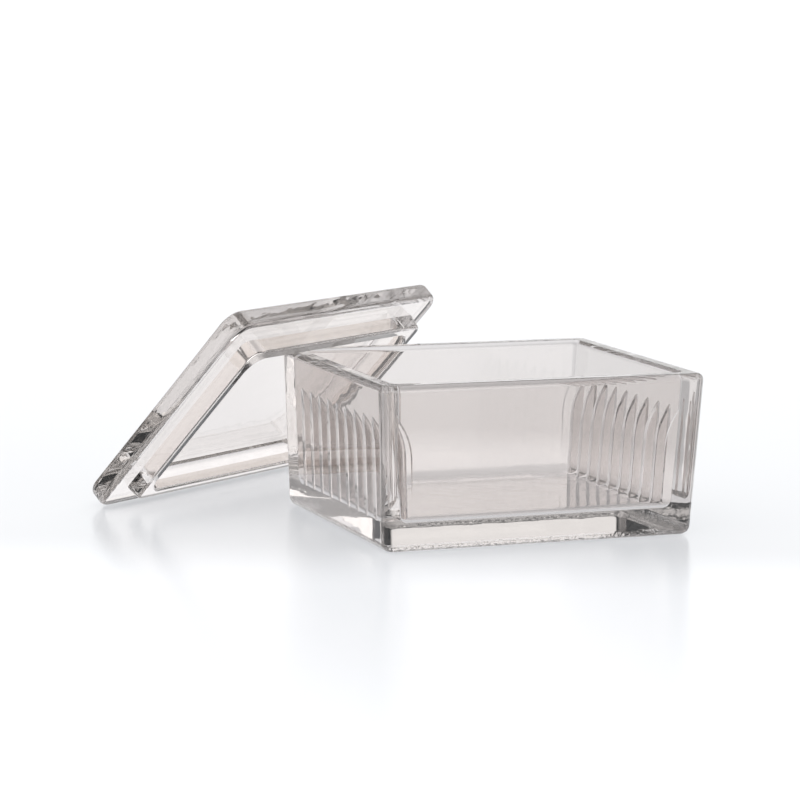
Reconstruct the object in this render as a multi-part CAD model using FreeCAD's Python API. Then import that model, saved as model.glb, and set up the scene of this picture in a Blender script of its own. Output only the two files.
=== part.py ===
import FreeCAD, Part
import math
import os

# Slide staining dish with its loose lid, millimetres.
# Origin at the middle of the dish's bearing face, +X along its long side, +Z up.

# --- the slides the dish is made for -----------------------------------------
slide_length = 76.0
slot_play = 0.5            # end play of a slide standing on the floor

# --- dish --------------------------------------------------------------------
width = 73.0               # over the rim, across the slots
height = 42.8
wall = 5.5                 # at the rim, all round
end_draft = 0.052          # slope of the two short walls, mm per mm of height
side_draft = 0.024         # slope of the two long walls
floor_thickness = 6.8
outer_corner = 3.2
inner_corner = 0.8
floor_fillet = 2.4
foot_radius = 2.6
rim_outer = 1.8
rim_inner = 1.5

# --- slots and ribs ----------------------------------------------------------
slots = 10
rib_thickness = 2.3        # at the wall
rib_depth = 3.6            # how far a rib stands out of the short wall
rib_below_rim = 9.0
lead_in = 10.6             # height of the curved lead-in
rib_nose = 0.7             # width of its flat nose
rib_bevel = 0.4            # bevel along each side of the nose

# --- lid ---------------------------------------------------------------------
plate = 5.8
plate_corner = 5.5
plate_edge = 1.6
lid_clearance = 1.3        # ridge to opening, each side, when closed
ridge_height = 4.3
ridge_draft = 0.10
ridge_crest = 3.0
ridge_edge = 0.8
ridge_corner = 2.6
panel_corner = 5.0
panel_drop = 3.0           # panel lies deeper than the seating flange

# --- the lid leaning on the dish ---------------------------------------------
lid_turn = 32.3            # turn of its lower edge from +X, degrees
lean_along = 37.9          # dish corner, measured along the lid from its left end
rest_gap = 0.25            # left between the lid and the dish where they touch

# --- modelling allowances ----------------------------------------------------
over = 4.0                 # cutting tools stand this far out of the mouth
bury = 2.0                 # ribs are rooted this deep in wall and floor
run_out = 0.3              # a rib's lead-in ends this deep in the wall
near = 0.4                 # reach when edges are picked by their place
flat = 0.01                # edges within this are level

# --- worked out --------------------------------------------------------------
depth = height - floor_thickness
length = slide_length + slot_play + 2 * (wall + end_draft * depth)
opening_x = length - 2 * wall
opening_y = width - 2 * wall
pitch = opening_y / slots
rib_top = height - rib_below_rim
crest_top = rib_top - lead_in
arc_radius = (lead_in ** 2 + rib_depth ** 2) / (2 * rib_depth)
wall_lean = math.atan(end_draft)
rib_shoulder = rib_nose + 2 * rib_bevel
taper = (rib_thickness - rib_shoulder) / 2 / (rib_depth - rib_bevel)
rib_root = rib_thickness + 2 * bury * taper
flange = wall + lid_clearance
ridge_slant = ridge_draft * ridge_height


def frustum(low, high):
    """Solid with flat sides between two centred rectangles, each given as x, y, z."""
    wedge = Part.makeWedge(-low[0] / 2, low[2], -low[1] / 2, -high[1] / 2, -high[0] / 2,
                           low[0] / 2, high[2], low[1] / 2, high[1] / 2, high[0] / 2)
    wedge.rotate(FreeCAD.Vector(0, 0, 0), FreeCAD.Vector(1, 0, 0), 90)
    return wedge


def upright(shape):
    """Edges that climb more than half the shape's height."""
    found = []
    for edge in shape.Edges:
        if edge.BoundBox.ZLength > shape.BoundBox.ZLength / 2:
            found.append(edge)
    return found


def level(shape, z, reach=None):
    """Edges lying at one height, and within a half size in X when it is given."""
    found = []
    for edge in shape.Edges:
        box = edge.BoundBox
        lies = abs(box.ZMin - z) < flat and abs(box.ZMax - z) < flat
        if lies and (reach is None or max(-box.XMin, box.XMax) < reach):
            found.append(edge)
    return found


def tapered(x, y, z_low, z_high, slope_x, slope_y, z_ref, corner):
    """Frustum of size x by y at z_ref, walls leaning by the slopes, corners rounded."""
    def at(z):
        return (x - 2 * slope_x * (z_ref - z), y - 2 * slope_y * (z_ref - z), z)
    solid = frustum(at(z_low), at(z_high))
    return solid.makeFillet(corner, upright(solid))


# --- dish body ---------------------------------------------------------------
body = tapered(length, width, 0, height, end_draft, side_draft, height, outer_corner)
body = body.makeFillet(foot_radius, level(body, 0))
body = body.makeFillet(rim_outer, level(body, height))

# --- hollow of the dish ------------------------------------------------------
hollow = tapered(opening_x, opening_y, floor_thickness, height + over,
                 end_draft, side_draft, height, inner_corner)
hollow = hollow.makeFillet(floor_fillet, level(hollow, floor_thickness))


# --- ribs: a tapered, bevelled section swept down the wall and, by an arc, up into it
def wall_x(z):
    return opening_x / 2 - end_draft * (height - z)


def rib(side, y):
    nose = FreeCAD.Vector(wall_x(crest_top) - rib_depth, y, crest_top)
    outwards = FreeCAD.Vector(math.cos(wall_lean), 0, -math.sin(wall_lean))
    upwards = FreeCAD.Vector(math.sin(wall_lean), 0, math.cos(wall_lean))
    across = FreeCAD.Vector(0, 1, 0)

    # section square to the wall, as widths at distances back from the nose
    right, left = [], []
    for back, breadth in ((0, rib_nose), (rib_bevel, rib_shoulder), (rib_depth + bury, rib_root)):
        right.append(nose + outwards * back + across * (breadth / 2))
        left.insert(0, nose + outwards * back - across * (breadth / 2))
    section = Part.Face(Part.makePolygon(left + right + [left[0]]))

    straight = section.extrude(upwards * (floor_thickness - bury - crest_top))
    swing = math.degrees(math.acos(1 - (rib_depth + run_out) / arc_radius))
    lead = section.revolve(nose + outwards * arc_radius, across, swing)
    solid = straight.fuse(lead).removeSplitter()
    if side < 0:
        solid = solid.mirror(FreeCAD.Vector(0, 0, 0), FreeCAD.Vector(1, 0, 0))
    return solid


# one rib on each side of every slot, the outermost ones half sunk in the long walls
ribs = []
for number in range(slots + 1):
    across = (number - slots / 2) * pitch
    for side in (-1, 1):
        ribs.append(rib(side, across))

jar = body.cut(hollow.cut(ribs))
jar = jar.makeFillet(rim_inner, level(jar, height, opening_x / 2 + near))

# --- lid, seating flange down at z = 0 ---------------------------------------
slab = frustum((length, width, 0), (length, width, plate))
slab = slab.makeFillet(plate_corner, upright(slab))
slab = slab.makeFillet(plate_edge, level(slab, 0) + level(slab, plate))

ridge_x = length - 2 * flange
ridge_y = width - 2 * flange
ridge = tapered(ridge_x, ridge_y, -ridge_height, panel_drop, ridge_draft, ridge_draft, 0,
                ridge_corner)
ridge = ridge.makeFillet(ridge_edge, level(ridge, -ridge_height))

panel_x = ridge_x - 2 * (ridge_slant + ridge_crest)
panel_y = ridge_y - 2 * (ridge_slant + ridge_crest)
panel = tapered(panel_x, panel_y, -ridge_height - over, panel_drop, -ridge_draft, -ridge_draft,
                -ridge_height, panel_corner)

lid = slab.fuse(ridge).cut(panel).removeSplitter()
lid = lid.makeFillet(ridge_edge, level(lid, -ridge_height, panel_x / 2 + near))

# --- lean the lid: lower edge on the table, ridge crest on the rim ------------
# roundings of the lid's lower edge that can meet the table, in its cross-section:
# the plate's and the ridge's, each as distance up the lid, distance under it, radius
ridge_foot = ridge_height - ridge_edge
feet = ((plate_edge, -plate_edge, plate_edge),
        (flange + ridge_draft * ridge_foot + ridge_edge * math.hypot(1, ridge_draft),
         ridge_foot, ridge_edge))
prop = width - flange - ridge_slant - ridge_crest
leans = []
for foot_up, foot_under, radius in feet:
    along = prop - foot_up
    rise = ridge_height - foot_under
    climb = height + rest_gap - radius
    leans.append(math.atan2(rise, along) + math.asin(climb / math.hypot(along, rise)))
tilt = min(leans)
turn = math.radians(lid_turn)

lid_along = FreeCAD.Vector(math.cos(turn), math.sin(turn), 0)
lid_up = FreeCAD.Vector(math.cos(tilt) * math.sin(turn), -math.cos(tilt) * math.cos(turn),
                        math.sin(tilt))
lid_under = lid_along.cross(lid_up)

# the point of the dish nearest to the lid's panel, on the rounded corner of the rim
towards = FreeCAD.Vector(-lid_under.x, -lid_under.y, 0)
towards.normalize()
touch = FreeCAD.Vector(outer_corner - length / 2, width / 2 - outer_corner, height - rim_outer)
touch = touch + towards * (outer_corner - rim_outer) - lid_under * rim_outer

# lower left corner of the lid's seating flange
corner_z = max(radius - up * math.sin(tilt) + under * math.cos(tilt)
               for up, under, radius in feet)
reach_along = touch.dot(lid_along) - lean_along
reach_under = touch.dot(lid_under) - corner_z * lid_under.z + panel_drop - rest_gap
spread = lid_along.x * lid_under.y - lid_along.y * lid_under.x
corner_x = (reach_along * lid_under.y - lid_along.y * reach_under) / spread
corner_y = (lid_along.x * reach_under - reach_along * lid_under.x) / spread
corner = FreeCAD.Vector(corner_x, corner_y, corner_z)

middle = corner + lid_along * (length / 2) + lid_up * (width / 2)
pose = FreeCAD.Matrix(lid_along.x, -lid_up.x, -lid_under.x, middle.x,
                      lid_along.y, -lid_up.y, -lid_under.y, middle.y,
                      lid_along.z, -lid_up.z, -lid_under.z, middle.z,
                      0, 0, 0, 1)
lid = lid.transformed(pose, True)

os.makedirs("parts", exist_ok=True)
for name, shape in (("jar", jar), ("lid", lid)):
    if not shape.isValid() or len(shape.Solids) != 1:
        raise RuntimeError(name + " is not one valid solid")
    shape.Solids[0].exportStep("parts/" + name + ".step")
    print(name, len(shape.Faces), "faces", round(shape.Volume), "mm3")
print("length", round(length, 3), "tilt", round(math.degrees(tilt), 2))
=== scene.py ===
import math

import bmesh
import bpy
from bpy.props import FloatProperty, FloatVectorProperty, PointerProperty
from mathutils import Matrix, Vector

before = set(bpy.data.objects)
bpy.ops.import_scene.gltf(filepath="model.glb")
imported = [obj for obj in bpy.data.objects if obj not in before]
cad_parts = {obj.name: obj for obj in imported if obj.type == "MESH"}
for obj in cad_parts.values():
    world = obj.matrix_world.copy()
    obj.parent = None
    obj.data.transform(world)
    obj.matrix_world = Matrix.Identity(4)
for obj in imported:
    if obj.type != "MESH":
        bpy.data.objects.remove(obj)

bl_info = {
    "name": "Slide staining dish",
    "version": (1, 0, 0),
    "blender": (4, 5, 0),
    "location": "View3D > Sidebar > Staining dish",
    "description": "Finishes a pressed-glass staining dish with its loose lid, and sets its table and lights",
    "category": "Object",
}

MM = 0.001
DISH, LID = "jar", "lid"

# glass
WAVE_LENGTH = 11 * MM           # of the slow waves in the pressed faces
RIPPLE_LENGTH = 1 * MM          # of the chill ripples round the foot
FOOT_START = (0.05 * MM, 0.4 * MM)      # heights between which the ripples set in
FOOT_END = (1.6 * MM, 2.4 * MM)         # and fade out again

# table
TABLE_REACH = 6.0               # half its side
TABLE_DROP = 0.1 * MM           # keeps its face apart from the dish's bearing face
PAINTED_POOL_EDGE = (0.1, 0.16)         # painted pool of light under the dish, seen in the glass, fades between these distances from it
PAINTED_FRONT_EDGE = (0.03, 0.09)       # painted glow seen by the eye grows between these, ahead of the dish

# studio: cosines, from a panel's middle, between which its edge is soft
ROOM_EDGE = (-0.6, -0.3)
BACKDROP_EDGE = (0.9, 0.95)
KEY_EDGE = (0.9, 0.94)
CEILING_EDGE = (0.3, 0.8)
CARD_EDGE = (0.45, 0.6)
BOUNCES = 32                    # light runs many times to and fro inside the rims before it leaves them


def linear(code):
    """Linear RGBA of an sRGB hex colour."""
    channels = [int(code[i:i + 2], 16) / 255 for i in (1, 3, 5)]
    return [c / 12.92 if c <= 0.04045 else ((c + 0.055) / 1.055) ** 2.4 for c in channels] + [1.0]


def add_node(tree, kind, settings=None, values=None, links=None):
    """Adds a node, sets its own settings and its sockets' values, and links outputs into its sockets."""
    node = tree.nodes.new(kind)
    for name, value in (settings or {}).items():
        setattr(node, name, value)
    for socket, value in (values or {}).items():
        node.inputs[socket].default_value = value
    for socket, output in (links or {}).items():
        tree.links.new(output, node.inputs[socket])
    return node


def blend(tree, value, edge, low, high):
    """Goes smoothly from low to high while the value goes from one end of the edge to the other."""
    values, links = {"From Min": edge[0], "From Max": edge[1]}, {"Value": value}
    for socket, level in (("To Min", low), ("To Max", high)):
        (links if isinstance(level, bpy.types.NodeSocket) else values)[socket] = level
    return add_node(tree, "ShaderNodeMapRange", {"interpolation_type": "SMOOTHSTEP"}, values,
                    links).outputs["Result"]


def choose(tree, which, low, high):
    """Low where which is 0, high where it is 1."""
    return blend(tree, which, (0, 1), low, high)


def toward(tree, way, azimuth):
    """How far a vector reaches in the level direction at an azimuth from +X."""
    ahead = (math.cos(azimuth), math.sin(azimuth), 0)
    return add_node(tree, "ShaderNodeVectorMath", {"operation": "DOT_PRODUCT"}, {1: ahead},
                    {0: way}).outputs["Value"]


def new_material(name):
    material = bpy.data.materials.new(name)
    material.use_nodes = True
    material.node_tree.nodes.clear()
    return material


def bent(tree, distance, height, normal=None):
    """Normal of a surface that follows a height."""
    links = {"Height": height}
    if normal:
        links["Normal"] = normal
    return add_node(tree, "ShaderNodeBump", None, {"Strength": 1.0, "Distance": distance},
                    links).outputs["Normal"]


def pressed_glass(name, tint, density, glass, ripple=0.0):
    """Soda-lime glass pressed in an iron mould and fire polished."""
    material = new_material(name)
    tree = material.node_tree
    place = add_node(tree, "ShaderNodeTexCoord").outputs["Object"]
    # slow waves of the fire-polished skin: they bend the straight lines seen through the walls
    waves = add_node(tree, "ShaderNodeTexNoise", {"noise_dimensions": "3D"},
                     {"Scale": 1 / WAVE_LENGTH, "Detail": 2.0, "Roughness": 0.45}, {"Vector": place})
    normal = bent(tree, glass.waviness, waves.outputs["Fac"])
    # chill ripples where the melt met the cold iron: they break the edges into bright and dark dashes
    ripples = add_node(tree, "ShaderNodeTexNoise", {"noise_dimensions": "3D"},
                       {"Scale": 1 / RIPPLE_LENGTH, "Detail": 1.0, "Roughness": 0.5}, {"Vector": place})
    up = add_node(tree, "ShaderNodeSeparateXYZ", None, None, {0: place}).outputs["Z"]
    amount = blend(tree, up, FOOT_START, 0.0, ripple)
    amount = blend(tree, up, FOOT_END, amount, 0.0)
    chilled = add_node(tree, "ShaderNodeMath", {"operation": "MULTIPLY"}, None,
                       {0: ripples.outputs["Fac"], 1: amount})
    normal = bent(tree, 1.0, chilled.outputs[0], normal)
    # clear body: light passes the thin walls and runs along the thick ones
    shader = add_node(tree, "ShaderNodeBsdfPrincipled", None,
                      {"Base Color": tint, "Roughness": glass.roughness, "IOR": 1.52,
                       "Transmission Weight": 1.0}, {"Normal": normal})
    # iron in the melt: long paths through the floor and the rim turn greyer and warmer
    body = add_node(tree, "ShaderNodeVolumeAbsorption", None, {"Color": glass.absorbed, "Density": density})
    add_node(tree, "ShaderNodeOutputMaterial", None, None,
             {"Surface": shader.outputs["BSDF"], "Volume": body.outputs["Volume"]})
    return material


def finish(node, material):
    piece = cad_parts[node]
    piece.data.materials.clear()
    piece.data.materials.append(material)


class StainingGlassSettings(bpy.types.PropertyGroup):
    """Finish of the two glass pieces"""
    dish_tint: FloatVectorProperty(
        name="Dish tint", description="Colour that the dish's glass gives to light at each surface",
        subtype="COLOR", size=4, min=0, max=1, default=linear("#E8E4E2"))
    lid_tint: FloatVectorProperty(
        name="Lid tint", description="Colour that the lid's glass gives to light at each surface",
        subtype="COLOR", size=4, min=0, max=1, default=linear("#F3EEEB"))
    absorbed: FloatVectorProperty(
        name="Body colour", description="Colour that thick glass tends to", subtype="COLOR", size=4,
        min=0, max=1, default=linear("#E2DEDB"))
    dish_density: FloatProperty(
        name="Dish density", description="How fast the body colour builds up, per metre of the dish's glass",
        min=0, default=8.0)
    lid_density: FloatProperty(
        name="Lid density", description="How fast the body colour builds up, per metre of the lid's glass",
        min=0, default=8.0)
    roughness: FloatProperty(
        name="Roughness", description="Roughness of the pressed surfaces", subtype="FACTOR",
        min=0, max=1, default=0.0)
    waviness: FloatProperty(
        name="Waviness", description="Height of the slow waves that pressing leaves", subtype="DISTANCE",
        unit="LENGTH", min=0, default=0.05 * MM)
    ripple: FloatProperty(
        name="Ripple", description="Height of the chill ripples round the foot", subtype="DISTANCE",
        unit="LENGTH", min=0, default=0.35 * MM)


class StainingStageSettings(bpy.types.PropertyGroup):
    """Table, lights and camera"""
    azimuth: FloatProperty(
        name="Camera azimuth", description="Turn of the camera round the dish", subtype="ANGLE",
        unit="ROTATION", default=math.radians(-22.851))
    elevation: FloatProperty(
        name="Camera elevation", description="Height of the camera above the horizon", subtype="ANGLE",
        unit="ROTATION", default=math.radians(8.859))
    roll: FloatProperty(
        name="Camera roll", description="Turn of the camera about its own line of sight", subtype="ANGLE",
        unit="ROTATION", default=math.radians(1.236))
    distance: FloatProperty(
        name="Camera distance", description="From the camera to the middle of the dish", subtype="DISTANCE",
        unit="LENGTH", default=814.05 * MM)
    aside: FloatProperty(
        name="Camera aside", description="Shift of the camera to its left", subtype="DISTANCE",
        unit="LENGTH", default=23.595 * MM)
    above: FloatProperty(
        name="Camera above", description="Shift of the camera upwards", subtype="DISTANCE",
        unit="LENGTH", default=11.269 * MM)
    aim: FloatProperty(
        name="Aim height", description="Height of the point the camera is set out from", subtype="DISTANCE",
        unit="LENGTH", default=20.276 * MM)
    lens: FloatProperty(
        name="Lens", description="Focal length in millimetres", unit="CAMERA", default=137.898)
    floor: FloatVectorProperty(
        name="Table", description="Colour of the table", subtype="COLOR", size=4, min=0, max=1,
        default=linear("#A2A2A2"))
    # bluish painted glow, so that the shaded parts of the table read bluish
    painted_glow_colour: FloatVectorProperty(
        name="Glow colour", description="Colour of the table's painted glow", subtype="COLOR", size=4,
        min=0, max=1, default=linear("#F7FAFF"))
    glow: FloatProperty(
        name="Glow", description="Brightness of the table's painted glow", min=0, default=0.45)
    painted_front_glow: FloatProperty(
        name="Front glow", description="Brightness of the table's painted glow in front of the dish", min=0,
        default=0.62)
    # painted light: the table is painted brighter in this direction from the dish
    painted_glow_azimuth: FloatProperty(
        name="Painted glow azimuth", description="Direction from the dish in which the table's painted glow grows",
        subtype="ANGLE", unit="ROTATION", default=math.radians(-113))
    # painted pool of light: the table glows brighter near the dish where it is seen in the glass
    painted_glow_in_glass: FloatProperty(
        name="Glow in glass", description="Brightness of the table's painted glow in glass, under the dish",
        min=0, default=0.71)
    painted_outer_glow_in_glass: FloatProperty(
        name="Outer glow in glass", description="Brightness of the table's painted glow in glass, further out",
        min=0, default=0.45)
    backdrop_azimuth: FloatProperty(
        name="Backdrop azimuth", description="Direction of the backdrop from the dish", subtype="ANGLE",
        unit="ROTATION", default=math.radians(69))
    key_azimuth: FloatProperty(
        name="Key azimuth", description="Direction of the key light from the dish", subtype="ANGLE",
        unit="ROTATION", default=math.radians(-70))
    card_azimuth: FloatProperty(
        name="Card azimuth", description="Direction of the black card at the side of the dish",
        subtype="ANGLE", unit="ROTATION", default=math.radians(180))
    backdrop: FloatProperty(
        name="Backdrop", description="Brightness of the backdrop in glass", min=0, default=1.1)
    flags: FloatProperty(
        name="Flags", description="Brightness of the black cards beside the backdrop", min=0, default=0.01)
    room: FloatProperty(
        name="Room", description="Brightness of the room in front", min=0, default=0.36)
    key: FloatProperty(
        name="Key", description="Brightness of the key light in glass", min=0, default=1.9)
    ceiling: FloatProperty(
        name="Ceiling", description="Brightness overhead", min=0, default=0.6)


class STAINING_OT_dish(bpy.types.Operator):
    """Gives the dish its pressed glass"""
    bl_idname = "staining.dish"
    bl_label = "Dish"

    def execute(self, context):
        glass = context.scene.staining_glass
        finish(DISH, pressed_glass("Pressed soda-lime glass, dish", glass.dish_tint, glass.dish_density,
                                   glass, glass.ripple))
        return {"FINISHED"}


class STAINING_OT_lid(bpy.types.Operator):
    """Gives the lid its pressed glass"""
    bl_idname = "staining.lid"
    bl_label = "Lid"

    def execute(self, context):
        glass = context.scene.staining_glass
        finish(LID, pressed_glass("Pressed soda-lime glass, lid", glass.lid_tint, glass.lid_density,
                                  glass))
        return {"FINISHED"}


def softbox(name, place, aim, size, power):
    """Rectangular lamp that faces a point."""
    light = bpy.data.lights.new(name, "AREA")
    light.shape = "RECTANGLE"
    light.size, light.size_y = size
    light.energy = power
    lamp = bpy.data.objects.new(name, light)
    lamp.location = place
    lamp.rotation_euler = (Vector(place) - Vector(aim)).to_track_quat("Z", "Y").to_euler()
    bpy.context.scene.collection.objects.link(lamp)
    return lamp


class STAINING_OT_stage(bpy.types.Operator):
    """Sets the table, the lights, the world and the camera"""
    bl_idname = "staining.stage"
    bl_label = "Stage"

    def execute(self, context):
        stage = context.scene.staining_stage
        self.table(stage)
        self.world(context.scene, stage)
        self.lights()
        self.camera(context.scene, stage)
        context.scene.view_settings.view_transform = "Standard"
        cycles = context.scene.cycles
        cycles.max_bounces = cycles.glossy_bounces = cycles.transmission_bounces = BOUNCES
        return {"FINISHED"}

    def table(self, stage):
        mesh = bpy.data.meshes.new("table")
        shape = bmesh.new()
        drop = Matrix.Translation((0, 0, -TABLE_DROP))
        bmesh.ops.create_grid(shape, x_segments=1, y_segments=1, size=TABLE_REACH, matrix=drop)
        shape.to_mesh(mesh)
        shape.free()
        table = bpy.data.objects.new("table", mesh)
        bpy.context.scene.collection.objects.link(table)
        # the table is lit by the lamps and also carries a painted glow
        material = new_material("White acrylic sheet, satin finished, with painted glow")
        tree = material.node_tree
        # painted glow: it shows to the eye and in the glass, but throws no light itself
        path = add_node(tree, "ShaderNodeLightPath")
        spot = add_node(tree, "ShaderNodeNewGeometry").outputs["Position"]
        reach = add_node(tree, "ShaderNodeVectorMath", {"operation": "LENGTH"}, None,
                         {0: spot}).outputs["Value"]
        # painted light: seen in the glass, the table glows brighter near the dish than further out
        painted_pool = blend(tree, reach, PAINTED_POOL_EDGE, stage.painted_glow_in_glass, stage.painted_outer_glow_in_glass)
        # painted light: seen by the eye, the table glows brighter ahead of the dish, so the floor beside the
        # dish and under the lid stays darker
        painted_glow_seen = blend(tree, toward(tree, spot, stage.painted_glow_azimuth), PAINTED_FRONT_EDGE, stage.glow, stage.painted_front_glow)
        glow = choose(tree, path.outputs["Is Camera Ray"], painted_pool, painted_glow_seen)
        glow = choose(tree, path.outputs["Is Diffuse Ray"], glow, 0.0)
        # satin skin: it mirrors the glass softly, and less sharply the higher the glass stands
        shader = add_node(tree, "ShaderNodeBsdfPrincipled", None,
                          {"Base Color": stage.floor, "Roughness": 0.22, "IOR": 1.49,
                           "Specular IOR Level": 0.25, "Emission Color": stage.painted_glow_colour},
                          {"Emission Strength": glow})
        add_node(tree, "ShaderNodeOutputMaterial", None, None, {"Surface": shader.outputs["BSDF"]})
        mesh.materials.append(material)

    def world(self, scene, stage):
        world = bpy.data.worlds.new("Studio")
        world.use_nodes = True
        tree = world.node_tree
        tree.nodes.clear()
        way = add_node(tree, "ShaderNodeTexCoord").outputs["Generated"]
        height = add_node(tree, "ShaderNodeSeparateXYZ", None, None, {0: way}).outputs["Z"]
        behind = toward(tree, way, stage.backdrop_azimuth)

        # round the horizon: grey room in front, black flags beside a white backdrop, one soft key;
        # above them the ceiling, with a black card hung at one side
        level = blend(tree, behind, ROOM_EDGE, stage.room, stage.flags)
        level = blend(tree, behind, BACKDROP_EDGE, level, stage.backdrop)
        level = blend(tree, toward(tree, way, stage.key_azimuth), KEY_EDGE, level, stage.key)
        level = blend(tree, height, CEILING_EDGE, level, stage.ceiling)
        level = blend(tree, toward(tree, way, stage.card_azimuth), CARD_EDGE, level, stage.flags)

        # seen directly, and by the table, the studio is plain white
        path = add_node(tree, "ShaderNodeLightPath")
        plain = add_node(tree, "ShaderNodeMath", {"operation": "MAXIMUM"}, None,
                         {0: path.outputs["Is Camera Ray"], 1: path.outputs["Is Diffuse Ray"]})
        level = choose(tree, plain.outputs[0], level, 1.0)
        sky = add_node(tree, "ShaderNodeBackground", None, {"Color": (1, 1, 1, 1)}, {"Strength": level})
        add_node(tree, "ShaderNodeOutputWorld", None, None, {"Surface": sky.outputs[0]})
        scene.world = world

    def lights(self):
        softbox("softbox above", (-0.3, 0.2, 0.9), (0, 0, 0), (0.9, 0.7), 0.5)

    def camera(self, scene, stage):
        a, e, r = stage.azimuth, stage.elevation, stage.roll
        back = Vector((math.sin(a) * math.cos(e), -math.cos(a) * math.cos(e), math.sin(e)))
        right = Vector((math.cos(a), math.sin(a), 0))
        up = back.cross(right)
        data = bpy.data.cameras.new("camera")
        data.lens = stage.lens
        camera = bpy.data.objects.new("camera", data)
        turned_right = right * math.cos(r) + up * math.sin(r)
        turned_up = up * math.cos(r) - right * math.sin(r)
        place = (Vector((0, 0, stage.aim)) + back * stage.distance - right * stage.aside + up * stage.above)
        turn = Matrix((turned_right, turned_up, back)).transposed().to_4x4()
        camera.matrix_world = Matrix.Translation(place) @ turn
        scene.collection.objects.link(camera)
        scene.camera = camera


class STAINING_PT_panel(bpy.types.Panel):
    """Lists the steps that make the scene"""
    bl_label = "Staining dish"
    bl_idname = "STAINING_PT_panel"
    bl_space_type = "VIEW_3D"
    bl_region_type = "UI"
    bl_category = "Staining dish"

    def draw(self, context):
        for settings in (context.scene.staining_glass, context.scene.staining_stage):
            box = self.layout.box()
            for name in settings.__annotations__:
                box.prop(settings, name)
        for step in STEPS:
            self.layout.operator(step.bl_idname)


STEPS = (STAINING_OT_dish, STAINING_OT_lid, STAINING_OT_stage)
CLASSES = (StainingGlassSettings, StainingStageSettings) + STEPS + (STAINING_PT_panel,)


def register():
    for kind in CLASSES:
        bpy.utils.register_class(kind)
    bpy.types.Scene.staining_glass = PointerProperty(type=StainingGlassSettings)
    bpy.types.Scene.staining_stage = PointerProperty(type=StainingStageSettings)


def unregister():
    del bpy.types.Scene.staining_stage
    del bpy.types.Scene.staining_glass
    for kind in reversed(CLASSES):
        bpy.utils.unregister_class(kind)


def main():
    register()
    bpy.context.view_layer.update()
    bpy.ops.staining.dish()
    bpy.ops.staining.lid()
    bpy.ops.staining.stage()


if __name__ == "__main__":
    main()
